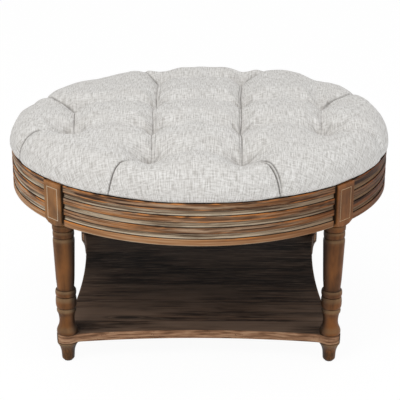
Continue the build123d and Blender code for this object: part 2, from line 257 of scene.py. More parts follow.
# Folds over the rim: where they meet the hem, in degrees, the side that laps over, crispness, second crease
RIM_FOLDS = {"front_left": (-115.3, 1, 0.92, 0), "front_right": (-67.8, -1, 0.92, 0.0062),
             "left_near": (-155.6, 1, 0.92, 0), "left_far": (155.0, 1, 0.62, 0),
             "rear_left": (112.0, 1, 0.55, 0), "rear_right": (59.5, -1, 0.5, -0.006),
             "right_far": (24.0, -1, 0.5, 0), "right_near": (-21.5, -1, 0.12, 0)}
RIM_WAIST, RIM_END, RIM_WIDTH, RIM_SWEEP = 0.0085, 0.005, 0.046, 1.8
# Soft hollows that run on from outer tufts: end, depths along them and half width
SOFT_ENDS = {"front_left": ((-0.096, -0.376), (0.042, 0.021, 0), 0.08),
             "front_right": ((0.086, -0.384), (0.042, 0.021, 0), 0.08),
             "left_near": ((-0.262, -0.2), (0.042, 0.021, 0), 0.07),
             "right_near": ((0.262, -0.204), (0.042, 0.021, 0.002), 0.07),
             "rear_left": ((-0.096, 0.39), (0.036, 0.011, 0.009), 0.06),
             "rear_right": ((0.11, 0.388), (0.036, 0.011, 0.01), 0.05),
             "right_far": ((0.272, 0.29), (0.036, 0.008, 0.008), 0.05),
             "left_far": ((-0.395, 0.088), (0.036, 0.008, 0.007), 0.05)}
# Small pleats round each tuft: directions in degrees and how far they stray, reach, depths and width
PLEAT_DEGREES, PLEAT_STRAY, PLEAT_REACH = (38, 142, 205, 335), 16, (0.02, 0.04)
PLEAT_DEPTHS, PLEAT_WIDTH, PLEAT_CRISP = (0.0034, 0.0024, 0.0), 0.01, 0.34
# Uneven sag of the stuffing towards the back: places along X and how far the top sinks there
REAR_SAG = ((-0.32, -0.25, -0.19, -0.13, -0.07, 0.04, 0.1, 0.155, 0.25, 0.33),
            (0.008, 0.0095, 0.007, 0.0024, 0.0036, 0.0058, 0.0018, -0.0032, -0.0048, -0.003))
REAR_START, REAR_RUN, RIM_EASE = -0.1, 0.25, 0.09
# Creases, darkened with painted shade: half width, groove, lap of one side and its reach, wander of the folds
CREASE_HALF, CREASE_GROOVE, LAP, LAP_REACH, FOLD_WANDER = 0.00095, 0.0022, 0.0007, 0.006, 0.0013
# The creases, their grooves and their painted shade lie a little behind their fold, where its far wall is in
# shade, and are wider across Y, which a low view shortens
CREASE_BEHIND, SLANT = (0, 0.003), (1, 0.36)
# Section: shoulder radius, its end over the seat, crown under the top, tuck and drop of the hem
SHOULDER, ROLL_RISE, CROWN_GAP, HEM_TUCK, HEM_DROP = 0.06, 0.009, 0.0005, 0.0078, 0.0086


def linen_material():
    """Pale grey linen: crossed slubs, a fine weave, and painted shade in the creases, round the tufts and
    under the hem.
    """
    s = Shader("linen")
    warp = s.grain((540, 40, 1), "UV", detail=2, rough=0.6)
    weft = s.grain((75, 300, 1), "UV", detail=2, rough=0.6)
    flecks = s.grain((640, 260, 1), "UV", detail=1)
    patches = s.grain((16, 16, 1), "UV", detail=2)
    slubs = s.plus(s.times(warp, 0.6), s.times(weft, 0.4))
    bare = s.ramp(slubs, (0.38, (0.47, 0.452, 0.428)), (0.5, (0.685, 0.672, 0.65)),
                  (0.62, (0.85, 0.842, 0.825)))
    colour = s.coats(bare, (s.ramp(flecks, (0.27, 0.45), (0.4, 0)), (0.38, 0.36, 0.335)),
                     (s.ramp(patches, (0.38, 0), (0.72, 0.16)), (0.56, 0.53, 0.5)),
                     # Painted shade in the hollow round each tuft
                     (s.times(s.mark("pit_shade"), 0.2), (0.42, 0.385, 0.36)),
                     # Painted shade: dark along the creases, in the tufts' eyes and in a line under the hem
                     (s.times(s.mark("crease_and_shade"), 0.9), (0.085, 0.072, 0.062)))
    wave = {"Vector": s.coordinates("UV", (1, 1, 1)), "Scale": 330.0, "Distortion": 1.5, "Detail": 1.0}
    across, along = [s.node("TexWave", wave, bands_direction=axis).outputs["Fac"] for axis in "XY"]
    weave = s.plus(s.times(across, along), s.times(slubs, 1.4))
    return s.finish(colour, 0.92, s.bump(weave, 0.32, 0.0006), Sheen_Weight=0.1, Sheen_Roughness=0.5,
                    Specular_IOR_Level=0.2)


def cushion_profile():
    """Section of the untufted cushion from the middle to the hem: points and the length along them."""
    roll, top = SEAT_Z + ROLL_RISE, TOP_Z - CROWN_GAP
    centre_r, rise = CUSHION_R - SHOULDER, top - roll
    big = (centre_r ** 2 + rise ** 2 - SHOULDER ** 2) / (2 * (rise - SHOULDER))
    turn = math.asin(centre_r / (big - SHOULDER))
    crown = [(big * math.sin(t), top - big * (1 - math.cos(t))) for t in np.linspace(0, turn, 60)]
    side = [(centre_r + SHOULDER * math.sin(t), roll + SHOULDER * math.cos(t))
            for t in np.linspace(turn, math.pi / 2, 40)[1:]]
    hem = [(CUSHION_R - HEM_TUCK * (1 - math.cos(t)), roll - HEM_DROP * math.sin(t))
           for t in np.linspace(0, math.pi / 2, 12)[1:]]
    points = np.array(crown + side + hem)
    return points, np.concatenate([[0], np.cumsum(np.hypot(*np.diff(points, axis=0).T))])


@dataclass
class Fold:
    """A fold on the flat pattern. Its depths are at the start, halfway and at the end of its line."""
    line: np.ndarray
    depths: tuple
    width: float
    crisp: float = 0.0
    lap: int = 0
    double: float = 0.0
    taper: tuple = (1, 1)
    pleat: bool = False


def cover_folds(arc_length):
    """All folds of the cover."""
    folds = []
    for column, crisp, double in COLUMNS:
        for near, far in zip(column, column[1:]):
            folds.append(Fold(np.linspace(TUFTS[near], TUFTS[far], 13),
                              (TUFT_DEPTH, COLUMN_WAIST, TUFT_DEPTH), COLUMN_WIDTH, crisp, -1, double,
                              taper=(0.9, 0.9)))
    for row in ROWS:
        for left, right in zip(row, row[1:]):
            folds.append(Fold(np.linspace(TUFTS[left], TUFTS[right], 13),
                              (ROW_DEPTH, ROW_WAIST, ROW_DEPTH), ROW_WIDTH))
    for name, (end_degrees, lap, crisp, double) in RIM_FOLDS.items():
        x, y = TUFTS[name]
        start_r, start = math.hypot(x, y), math.atan2(y, x)
        end = math.radians(end_degrees)
        line = [polar(start_r + (arc_length - start_r) * t,
                      start + (end - start) * (1 - (1 - t) ** RIM_SWEEP)) for t in np.linspace(0, 1, 21)]
        folds.append(Fold(np.array(line), (TUFT_DEPTH, RIM_WAIST, RIM_END), RIM_WIDTH, crisp, lap, double,
                          taper=(0.3, 0.3 if "far" in name else 1)))
    folds += [Fold(np.linspace(TUFTS[name], end, 13), depths, width)
              for name, (end, depths, width) in SOFT_ENDS.items()]
    random = np.random.default_rng(5)
    for x, y in TUFTS.values():
        for degrees in PLEAT_DEGREES:
            turn = math.radians(degrees + random.uniform(-PLEAT_STRAY, PLEAT_STRAY))
            reach = random.uniform(*PLEAT_REACH)
            end = (x + reach * math.cos(turn), y + reach * math.sin(turn))
            folds.append(Fold(np.linspace((x, y), end, 7), PLEAT_DEPTHS, PLEAT_WIDTH, PLEAT_CRISP,
                              taper=(1, 0), pleat=True))
    return folds


def nearest_on(line, points):
    """Distance to a line of points, share along it and side of it, for each point."""
    best = np.full(len(points), np.inf)
    share, side = np.zeros(len(points)), np.ones(len(points))
    count = len(line) - 1
    for i in range(count):
        start, run = line[i], line[i + 1] - line[i]
        away = points - start
        t = np.clip((away @ run) / (run @ run), 0, 1)
        gap = np.hypot(*(away - t[:, None] * run).T)
        closer = gap < best
        best = np.where(closer, gap, best)
        share = np.where(closer, (i + t) / count, share)
        side = np.where(closer, np.sign(run[0] * away[:, 1] - run[1] * away[:, 0]), side)
    return best, share, side


def beside(line, offset):
    """Line moved sideways, to its left where the offset is above nought, and drawn in at both ends."""
    along = np.gradient(line, axis=0)
    along /= np.hypot(*along.T)[:, None]
    ease = np.sin(np.linspace(0, math.pi, len(line))) ** 0.35
    return line + offset * ease[:, None] * np.stack([-along[:, 1], along[:, 0]], axis=1)


def ripples(points, waves, size, seed):
    """Smooth seeded unevenness: a sum of plane waves about as long as size."""
    random = np.random.default_rng(seed)
    total = np.zeros(len(points))
    for _ in range(waves):
        angle, phase = random.uniform(0, 2 * math.pi, 2)
        length = size * random.uniform(0.7, 1.6)
        total += np.sin((points @ [math.cos(angle), math.sin(angle)]) * 2 * math.pi / length + phase)
    return total / math.sqrt(waves)


def disc_of_triangles(radius, rings):
    """Points and faces of a disc, six sectors of even triangles."""
    points = [(0.0, 0.0)]
    for k in range(1, rings + 1):
        points += [polar(radius * k / rings, turn) for turn in once_round(6 * k)]
    faces = []
    for k in range(1, rings + 1):
        here, inner = 1 + 3 * k * (k - 1), (1 + 3 * (k - 1) * (k - 2) if k > 1 else 0)
        inner_count = max(6 * (k - 1), 1)
        for sector in range(6):
            for j in range(k):
                a, b = here + sector * k + j, here + (sector * k + j + 1) % (6 * k)
                c = inner + (sector * (k - 1) + j) % inner_count
                faces.append((c, a, b))
                if j < k - 1:
                    faces.append((c, b, inner + (sector * (k - 1) + j + 1) % inner_count))
    return np.array(points), faces


def flat_pattern(arc_length, rings, folds):
    """Flat pattern of the cover, cut finer along the creases but not at the hem."""
    reach, reach_double, hem_margin, behind = 0.007, 0.006, 0.0045, (0, 0.002)
    flat, faces = disc_of_triangles(arc_length, rings)
    near = np.zeros(len(flat), bool)
    for fold in folds:
        if fold.crisp and not fold.pleat:
            near |= nearest_on(fold.line, flat - behind)[0] < reach
            if fold.double:
                near |= nearest_on(beside(fold.line, fold.double), flat - behind)[0] < reach_double
    near &= np.hypot(*flat.T) < arc_length - hem_margin
    pattern = bpy.data.meshes.new("pattern")
    pattern.from_pydata([(x, y, 0) for x, y in flat], [], faces)
    work = bmesh.new()
    work.from_mesh(pattern)
    work.verts.ensure_lookup_table()
    edges = [e for e in work.edges if near[e.verts[0].index] and near[e.verts[1].index]]
    bmesh.ops.subdivide_edges(work, edges=edges, cuts=2, use_grid_fill=True)
    bmesh.ops.triangulate(work, faces=work.faces)
    work.verts.index_update()
    flat = np.array([v.co[:2] for v in work.verts])
    faces = [tuple(v.index for v in f.verts) for f in work.faces]
    work.free()
    bpy.data.meshes.remove(pattern)
    return flat, faces


def press_in(flat, arc, profile, steps, folds):
    """Depth of the tufting at each point, with its marks of painted shade in the creases, under the hem and
    round the tufts.
    """
    pull_range, pull_reach, pit_reach, eye_reach = (0.003, 0.01), 0.024, 0.026, 0.0032
    ridge, ridge_half, pucker_depth, pucker_r, pucker_band = 0.0012, 0.0022, 0.0006, 0.02, 0.014
    arc_length, hem_ease, hem_shadow = steps[-1], 0.012, 0.0035
    wavy = flat + FOLD_WANDER * np.stack([ripples(flat, 5, 0.07, 3), ripples(flat, 5, 0.07, 4)], axis=1)
    slanted = (wavy - CREASE_BEHIND) * SLANT
    press, small, crease_and_shade, lap, pit_shade = (np.zeros(len(flat)) for _ in range(5))
    for fold in folds:
        gap, share, side = nearest_on(fold.line, wavy)
        depth = np.interp(share, (0, 0.5, 1), fold.depths)
        across = np.clip(gap / fold.width, 0, 1)
        valley = depth * (1 - (across if fold.crisp else across ** 1.6)) ** 2
        if fold.pleat:
            small = np.maximum(small, valley)
        else:
            press = np.maximum(press, valley)
        if not fold.crisp:
            continue
        strength = fold.crisp * np.interp(share, (0, 0.16, 0.9, 1), (fold.taper[0], 1, 1, fold.taper[1]))
        thin = nearest_on(fold.line * SLANT, slanted)[0]
        crease_and_shade = np.maximum(crease_and_shade, strength * np.exp(-(thin / CREASE_HALF) ** 2))
        lap += LAP * strength * fold.lap * side * np.exp(-gap / LAP_REACH)
        if fold.double:
            other, share, _ = nearest_on(beside(fold.line, fold.double) * SLANT, slanted)
            fade = np.interp(share, (0, 0.2, 0.75, 1), (0, 1, 1, 0.1))
            crease_and_shade = np.maximum(crease_and_shade, 0.9 * strength * fade * np.exp(-(other / CREASE_HALF) ** 2))
            middle = nearest_on(beside(fold.line, fold.double / 2), wavy)[0]
            small -= ridge * fade * np.exp(-(middle / ridge_half) ** 2)
    for i, (x, y) in enumerate(TUFTS.values()):
        away = wavy - (x, y)
        gap = np.hypot(*away.T)
        turn = np.arctan2(away[:, 1], away[:, 0])
        cover_z = np.interp(math.hypot(x, y), steps, profile[:, 1])
        pull = np.clip(cover_z - TUFT_Z - TUFT_DEPTH, *pull_range)
        press += pull * np.exp(-(gap / pull_reach) ** 1.2)
        pucker = np.sin(9 * turn + 2.1 * i) + 0.7 * np.sin(14 * turn + 3.3 * i)
        small += pucker_depth * pucker * np.exp(-((gap - pucker_r) / pucker_band) ** 2)
        # Painted shade: a dark eye in the middle of each tuft
        crease_and_shade = np.maximum(crease_and_shade, 0.75 * np.exp(-(gap / eye_reach) ** 2))
        # Painted shade: strongest in the pit of each tuft, fading outwards
        pit_shade = np.maximum(pit_shade, np.exp(-(gap / pit_reach) ** 2))
    rear = np.clip((flat[:, 1] - REAR_START) / REAR_RUN, 0, 1)
    lean = np.interp(flat[:, 0], *REAR_SAG) * rear * rear * (3 - 2 * rear)
    press += lean * np.clip((arc_length - arc) / RIM_EASE, 0, 1)
    slack = 0.001 * ripples(flat, 9, 0.12, 7) + 0.00035 * ripples(flat, 16, 0.035, 8)
    edge = np.clip((arc_length - arc) / hem_ease, 0, 1)
    # Painted shadow: a dark line where the hem tucks in over the apron
    hem = 0.8 * np.clip((arc - arc_length + hem_shadow) / hem_shadow, 0, 1)
    return (lap + slack - press - small - CREASE_GROOVE * crease_and_shade) * edge, np.maximum(crease_and_shade, hem), pit_shade


def make_cushion():
    """Tufted cushion: a domed sheet pressed in at tufts and folds, closed underneath round the board."""
    rings = 215
    profile, steps = cushion_profile()
    arc_length = steps[-1]
    folds = cover_folds(arc_length)
    flat, faces = flat_pattern(arc_length, rings, folds)
    arc = np.minimum(np.hypot(*flat.T), arc_length)
    angle = np.arctan2(flat[:, 1], flat[:, 0])
    tangent = np.gradient(profile, axis=0)
    tangent /= np.maximum(np.hypot(*tangent.T), 1e-9)[:, None]
    move, crease_and_shade, pit_shade = press_in(flat, arc, profile, steps, folds)
    radius = np.interp(arc, steps, profile[:, 0]) - move * np.interp(arc, steps, tangent[:, 1])
    level = np.interp(arc, steps, profile[:, 1]) + move * np.interp(arc, steps, tangent[:, 0])
    points = np.stack([radius * np.cos(angle), radius * np.sin(angle), level], axis=1)
    rim = np.nonzero(arc > arc_length - 1e-6)[0]
    rim = rim[np.argsort(angle[rim])]
    turn_in, board_side, middle_r, film, over = CUSHION_R - 0.068, BOARD_R + 0.0004, 0.2, 0.0002, 0.0003
    underside = ((turn_in, SEAT_Z + film), (turn_in, BOARD_LOW.z - film), (board_side, BOARD_LOW.z - film),
                 (board_side, BOARD_HIGH.z + over), (middle_r, BOARD_HIGH.z + over))
    points, uv, around = list(points), list(flat), len(rim)
    turns = angle[rim]
    last, out = list(rim), arc_length
    for r, z in underside:
        out += 0.03
        ring = [len(points) + j for j in range(around)]
        points += [(*polar(r, t), z) for t in turns]
        uv += [polar(out, t) for t in turns]
        faces += [(last[j], ring[j], ring[(j + 1) % around], last[(j + 1) % around]) for j in range(around)]
        last = ring
    faces.append(tuple(last))
    underneath = (0, len(points) - len(crease_and_shade))
    marks = {"crease_and_shade": np.pad(crease_and_shade, underneath), "pit_shade": np.pad(pit_shade, underneath)}
    piece = make_piece("tufted_cushion", points, faces, linen_material(), uv, marks, sharp_angle=70)
    finish_piece(piece, "fabric", "seat_cover", "seat_foam")


# Apron

# The last apron mark is painted shade, with some dark stain, in the grooves, on the inner face and at the
# ends
APRON_MARKS = ("wash", "ledge", "edge", "low", "soot")
APRON_THICK, BAND_DEPTH, BAND_HEIGHT, REED_SOFT = 0.022, 0.003, 0.0111, 0.0011
REED_HEIGHTS = (0.0132, 0.012, 0.0122, 0.0142)
# Painted shade: the finish grows browner and darker between these places along X, away from the key light
APRON_SIDE_SHADE, LEG_SIDE_SHADE = (0.02, 0.36), (0.02, 0.3)


def apron_material():
    """Worn stained reeds: brown-grey faces, orange arrises with a painted glint, washed bands between them.
    """
    s = Shader("apron_wood")
    fine = s.grain((24, 620, 1), "UV", rough=0.6)
    streak = s.grain((6, 230, 1), "UV", rough=0.6, distortion=0.3)
    broad = s.grain((5, 60, 1), "UV", detail=2)
    broken = s.grain((11, 120, 1), "UV", rough=0.65)
    stained = s.ramp(streak, (0.42, (0.042, 0.02, 0.011)), (0.475, (0.15, 0.073, 0.036)),
                     (0.52, (0.225, 0.122, 0.064)), (0.59, (0.42, 0.285, 0.185)))
    low = s.ramp(streak, (0.36, (0.27, 0.12, 0.048)), (0.5, (0.4, 0.2, 0.088)),
                 (0.66, (0.52, 0.32, 0.175)))
    washed = s.ramp(streak, (0.41, (0.085, 0.052, 0.031)), (0.49, (0.27, 0.195, 0.125)),
                    (0.58, (0.49, 0.395, 0.285)))
    washed = s.mix(s.ramp(fine, (0.38, 0.7), (0.5, 0)), washed, (0.165, 0.105, 0.064))
    colour = s.coats(
        stained,
        (s.ramp(broken, (0.52, 0), (0.62, 0.7)), (0.37, 0.262, 0.17)),
        (s.ramp(broad, (0.48, 0), (0.64, 0.55)), (0.43, 0.175, 0.052)),
        (s.ramp(fine, (0.36, 0.7), (0.47, 0)), (0.08, 0.041, 0.023)),
        (s.times(s.mark("low"), 0.8), low),
        # Orange on the arrises: partly wear, partly a painted glint
        (s.times(s.mark("edge"), s.ramp(broken, (0.49, 0), (0.58, 0.95))), (0.56, 0.205, 0.046)),
        (s.mark("wash"), washed),
        (s.times(s.mark("ledge"), s.ramp(broken, (0.38, 0.2), (0.54, 1))), (0.58, 0.49, 0.37)),
        # Painted shade, with some dark stain
        (s.times(s.mark("soot"), 0.94), (0.012, 0.008, 0.006)))
    # Painted shade: browner and darker towards the right
    colour = s.mix(s.fade(s.axis(0), *APRON_SIDE_SHADE), colour, (0.32, 0.19, 0.088), blend="MULTIPLY")
    height = s.plus(s.times(fine, 0.6), streak)
    return s.finish(colour, s.ramp(streak, (0.3, 0.66), (0.7, 0.5)), s.bump(height, 0.25, 0.0008),
                    Specular_IOR_Level=0.16)


def apron_section():
    """Section of the reeded ring, once round from the inner foot: radius, level and its marks."""
    def at(inset, z, **marks):
        return (APRON_R - inset, z, *(marks.get(mark, 0) for mark in APRON_MARKS))

    rising, falling = soft_edge(REED_SOFT), soft_edge(REED_SOFT, back=True)
    # Painted shade on the inner face
    section = [at(APRON_THICK, SEAT_Z, soot=0.3), at(APRON_THICK, APRON_Z, soot=0.3)]
    level = APRON_Z
    for i, height in enumerate(REED_HEIGHTS):
        top, low = level + height, int(i == 0)
        section += [at(inset, level + rise, ledge=0.6 * low, edge=0.9 * (1 - low), low=low)
                    for inset, rise in rising]
        section += [at(0, level + 0.0024, edge=0.55 * (1 - low), low=low), at(0, level + 0.004, low=low),
                    at(0, top - 0.0038, low=low), at(0, top - 0.0022, edge=0.6, low=low)]
        section += [at(inset, top - rise, edge=1, low=low) for inset, rise in falling]
        band_top = top + BAND_HEIGHT
        # Painted shade, with some dark stain: under the cushion atop the last reed, else in the corners at
        # the foot and top of each washed band
        if i == len(REED_HEIGHTS) - 1:
            section.append(at(0.0016, top - 0.0001, soot=0.9))
        else:
            section += [at(0.0013, top, soot=1), at(0.0024, top + 0.0002, soot=1),
                        at(0.0022, top + 0.0011, wash=1, ledge=0.3, soot=1),
                        at(0.0024, top + 0.0017, wash=1, ledge=1, soot=0.1),
                        at(0.0029, top + 0.0032, wash=1, ledge=0.9), at(BAND_DEPTH, top + 0.0045, wash=1),
                        at(BAND_DEPTH, band_top - 0.0017, wash=1),
                        at(BAND_DEPTH, band_top - 0.0011, wash=0.7, soot=0.55),
                        at(BAND_DEPTH + 0.0003, band_top - 0.0005, soot=0.8),
                        at(BAND_DEPTH + 0.0003, band_top, soot=0.8)]
        level = band_top
    return section


def make_aprons():
    """Four lengths of the reeded ring, each ending short of the leg blocks."""
    rows, end_soot, deep, deep_gap, face_gap = 73, 0.0012, 0.0034, 0.0006, 0.003
    material, section = apron_material(), apron_section()
    for i, (side, middle) in enumerate(zip(SIDES, QUARTERS)):
        points, uv, marks = [], [], {mark: [] for mark in APRON_MARKS}
        for row in range(rows):
            share = 2 * row / (rows - 1) - 1
            share = math.copysign(1 - (1 - abs(share)) ** 1.25, share)
            for r, z, *values in section:
                near_block = HALF_STOCK + (deep_gap if r < APRON_R - deep else face_gap)
                reach = math.pi / 4 - math.asin(near_block / r)
                points.append((*polar(r, middle + share * reach), z))
                uv.append((share * reach * APRON_R + 2.1 * i, z + 0.8 * (r - APRON_R)))
                # Painted shade, with some dark stain, on the ends beside the leg blocks
                at_end = (1 - abs(share)) * reach * r < end_soot
                for mark, value in zip(marks, values):
                    marks[mark].append(1.0 if mark == "soot" and at_end else value)
        piece = make_piece(f"reeded_apron_{side}", points, grid_faces(rows, len(section), capped=True),
                           material, uv, marks, sharp_angle=50)
        finish_piece(piece, "apron_wood", f"apron_{side}")


# Legs

# Column as drawn, in millimetres, before it is fitted between shelf and block: foot and height
DRAWN_Z, DRAWN_HEIGHT = 62, 231
# Panel line on a block's face: where it runs from the middle, its depth, and its gaps at foot and top
LINE_INNER, LINE_OUTER, LINE_DEPTH, LINE_OVER_FOOT, LINE_UNDER_TOP = 0.0144, 0.016, 0.0011, 0.008, 0.0105
# Points across half a face, its broken edge, and the turning radii below and at the top
FACE_STEPS = (0.0045, 0.0095, 0.0138, 0.0146, 0.0158, 0.0166, 0.0205)
BLOCK_BROKEN, BLOCK_R, BLOCK_TOP_R = 0.0013, 0.036, 0.035


def leg_wood():
    """Warm brown turned wood: quiet upright grain, pale wash on the high spots, painted shade and stain in
    the grooves.
    """
    s = Shader("leg_wood")
    grain = s.grain((150, 150, 7), rough=0.55)
    cloud = s.grain((34, 34, 16))
    grit = s.grain((420, 420, 90), detail=2)
    stained = s.ramp(grain, (0.34, (0.172, 0.074, 0.023)), (0.5, (0.218, 0.096, 0.03)),
                     (0.66, (0.262, 0.12, 0.04)))
    level = s.axis(2)
    grimy = s.times(s.fade(level, 0.046, 0.04), s.ramp(grit, (0.4, 0.7), (0.58, 0.12)))
    colour = s.coats(
        stained,
        (s.ramp(cloud, (0.46, 0), (0.64, 0.75)), (0.38, 0.165, 0.048)),
        (s.ramp(cloud, (0.34, 0.6), (0.46, 0)), (0.105, 0.052, 0.023)),
        (grimy, (0.07, 0.04, 0.013)),
        (s.times(s.mark("wash"), s.ramp(cloud, (0.34, 0.6), (0.56, 1))), (0.38, 0.29, 0.195)),
        (s.times(s.mark("edge"), s.ramp(grit, (0.4, 0.4), (0.6, 1))), (0.44, 0.18, 0.055)),
        (s.times(s.mark("line"), 0.95), (0.68, 0.55, 0.41)),
        # Painted shade, with some dark stain: grooves, the legs' inner sides and the blocks' side faces
        (s.times(s.mark("soot"), 0.95), (0.014, 0.009, 0.006)))
    below_block = s.fade(level, BLOCK_Z + 0.004, BLOCK_Z - 0.002)
    colour = s.mix(below_block, colour, (0.62, 0.53, 0.41), blend="MULTIPLY")
    # Painted shade: browner and darker towards the right, less so below the blocks
    side_shade = s.times(s.fade(s.axis(0), *LEG_SIDE_SHADE), s.math("SUBTRACT", 0.9, s.times(below_block, 0.5)))
    colour = s.mix(side_shade, colour, (0.7, 0.56, 0.42), blend="MULTIPLY")
    height = s.plus(s.times(grit, 0.5), grain)
    return s.finish(colour, s.ramp(cloud, (0.3, 0.55), (0.7, 0.42)), s.bump(height, 0.16, 0.0006),
                    Specular_IOR_Level=0.22)


def make_turned(name, outline, material, node):
    """Turned piece at each leg; outline is (radius, level, wash, shade and stain), bottom up; painted shade
    inwards.
    """
    around = 72
    points, faces, marks = [], [], {"wash": [], "soot": []}
    for corner in DIAGONALS:
        x, y = polar(LEG_CIRCLE, corner)
        faces += grid_faces(len(outline), around, capped=True, start=len(points))
        for r, z, wash, soot in outline:
            for turn in once_round(around):
                points.append((x + r * math.cos(turn), y + r * math.sin(turn), z))
                marks["wash"].append(wash)
                # Painted shade on the side of each leg that faces the middle of the table
                shade = min(1, max(0, (0.62 - math.cos(turn - corner)) / 1.05))
                marks["soot"].append(max(soot, 0.93 * shade * shade * (3 - 2 * shade)))
    finish_piece(make_piece(name, points, faces, material, None, marks, sharp_angle=60), "leg_wood", node)


def in_metres(outline):
    """Outline drawn in millimetres, in metres; a wash or painted shade and stain left out is nought."""
    return [(r * MM, z * MM, *marks, *(0,) * (2 - len(marks))) for r, z, *marks in outline]


def bead(low, high, root, belly, wash_top, soot_root, steps):
    """Rounded bead between two levels: root radius at its ends, belly radius at its middle."""
    # Painted shade, with some stain, in the grooves at the bead's roots
    soot = {0: soot_root, 1: 0.45 * soot_root, steps - 2: 0.45 * soot_root, steps - 1: soot_root}
    points = []
    for i in range(steps):
        t = math.pi * i / (steps - 1)
        swell = math.sin(t) ** 0.55 if 0 < i < steps - 1 else 0
        at_top = min(1, max(0, -1.6 * math.cos(t)))
        points.append((root + (belly - root) * swell, low + (high - low) * (1 - math.cos(t)) / 2,
                       wash_top * at_top * min(1, 1.6 * swell), soot.get(i, 0)))
    return points


def column_outline():
    """Turned column from the shelf up: vase, ring, ball, bead, long taper and two rings."""
    # Fourth values: painted shade and stain where the column meets the shelf, in hollows and grooves
    vase = [(19.6, 62, 0, 1), (20.6, 62.6, 0, 0.6), (21.3, 64.5), (21.5, 67, 0.1), (21.2, 70, 0.35),
            (20.3, 73, 0.4), (18.8, 76.2, 0.3), (17.4, 79.2, 0.1), (16.2, 83), (15.5, 87.5), (15.4, 91.5),
            (15.7, 96), (16.4, 101, 0, 0.15), (17.3, 105, 0, 0.35), (18.2, 107.4, 0, 0.25), (19.2, 109, 0.1),
            (19.7, 110.6, 0.45), (19.8, 112.6, 0.7), (19.6, 114.8, 0.8), (18.9, 116.8, 0.75),
            (18.0, 118, 0.1, 0.9)]
    shaft = [(17.5, 157.2, 0, 0.5), (17.4, 159.5, 0, 0.2), (17.6, 163), (18.3, 171), (18.9, 179), (19.5, 193),
             (20.1, 208), (20.6, 223), (21.2, 239), (21.7, 253), (21.9, 257.5, 0.15), (21.8, 260.6, 0.7),
             (21.1, 263.2, 0.8), (19.9, 265.2, 0.3, 0.3)]
    outline = vase + bead(118.4, 142.2, 17.8, 21.3, 0.65, 0.9, 15)
    outline += bead(142.8, 156.6, 17.8, 21.3, 0.75, 0.85, 13) + shaft
    outline += bead(266, 279.6, 19.4, 21.6, 0.6, 0.9, 11) + bead(280, 292.8, 19.6, 22.4, 0.35, 0.9, 11)
    stretch = (BLOCK_Z - SHELF_TOP) / (DRAWN_HEIGHT * MM)
    return [(r, SHELF_TOP + (z - DRAWN_Z * MM) * stretch, wash, soot)
            for r, z, wash, soot in in_metres(outline)]


def foot_outline():
    """Turned foot from the glide up: rounded tip, tapered stump, cove and flange."""
    # Fourth values: painted shade and stain at the glide and under the shelf
    return in_metres([
        (8.5, 2.0, 0, 0.6), (10.6, 2.3, 0, 0.4), (12.0, 3.6, 0, 0.1), (12.8, 5.6), (13.1, 9), (13.4, 15),
        (13.8, 20), (14.6, 25), (16.0, 30, 0.1), (17.9, 34.5, 0.2), (19.8, 38, 0.35), (21.0, 39.6, 0.5),
        (21.4, 41, 0.9), (21.3, 42.4, 0.6), (20.8, 43.9, 0, 1)])


def block_ring(r_turned, line_from=None):
    """Outline of a leg block at one level, inside a turning radius; the panel line starts at line_from."""
    end = HALF_STOCK - BLOCK_BROKEN
    steps = [-end, *(-y for y in FACE_STEPS[::-1]), 0.0, *FACE_STEPS, end]
    ring = []
    for quarter, turn in enumerate(QUARTERS):
        for y in steps:
            on_line = quarter == 0 and line_from is not None and line_from <= abs(y) <= LINE_OUTER
            line = 1.0 if on_line else 0.0
            u, v = spun(HALF_STOCK - LINE_DEPTH * line, y, turn)
            inside = min(1, r_turned / math.hypot(u, v))
            ring.append((u * inside, v * inside, line))
    return ring


def make_blocks():
    """Leg blocks: turned shoulders below and a routed, washed panel line on the outward face."""
    foot, top = BLOCK_Z, SEAT_Z
    low_line, high_line = APRON_Z + LINE_OVER_FOOT, SEAT_Z - LINE_UNDER_TOP
    rings = [(foot + rise, block_ring(r)) for r, rise in (
        (0.02, 0), (0.0218, 0.0004), (0.0255, 0.0018), (0.0288, 0.004), (0.0315, 0.0066), (0.0338, 0.0094),
        (0.0354, 0.012))]
    plain, upright, across = block_ring(BLOCK_R), block_ring(BLOCK_R, LINE_INNER), block_ring(BLOCK_R, 0)
    rings += [(low_line - 0.0004, plain), (low_line, across), (low_line + 0.0014, across),
              (low_line + 0.0018, upright), ((low_line + high_line) / 2, upright),
              (high_line - 0.0018, upright), (high_line - 0.0014, across), (high_line, across),
              (high_line + 0.0004, plain), (top - 0.001, plain), (top - 0.0003, block_ring(BLOCK_TOP_R))]
    faces = grid_faces(len(rings), len(rings[0][1]), capped=True)
    material = leg_wood()
    arris, side_reach, square_from, shaded_from, near_top, joint = 0.0016, 0.0215, 0.01, 0.011, 0.008, 0.001
    for corner, turn in zip(CORNERS, DIAGONALS):
        points, marks = [], {"line": [], "edge": [], "soot": []}
        for z, ring in rings:
            for u, v, line in ring:
                points.append((*spun(LEG_CIRCLE + u, v, turn), z))
                corner_near = max(0, 1 - abs(abs(u) - abs(v)) / arris) if z > foot + square_from else 0
                side_face = abs(abs(v) - HALF_STOCK) < 0.0006 and u < side_reach and z > foot + shaded_from
                marks["line"].append(line)
                marks["edge"].append(max(0.45 * corner_near, 0.7 if z > top - near_top else 0))
                # Painted shade, with some dark stain, on the blocks' side faces and at their foot joint
                marks["soot"].append(0.9 if side_face else 0.7 if z < foot + joint else 0)
        piece = make_piece(f"panelled_block_{corner}", points, faces, material, None, marks, sharp_angle=40)
        finish_piece(piece, "leg_wood", f"leg_block_{corner}")
    make_turned("turned_columns", column_outline(), material, "leg_columns")
    make_turned("turned_feet", foot_outline(), material, "feet")


# Shelf

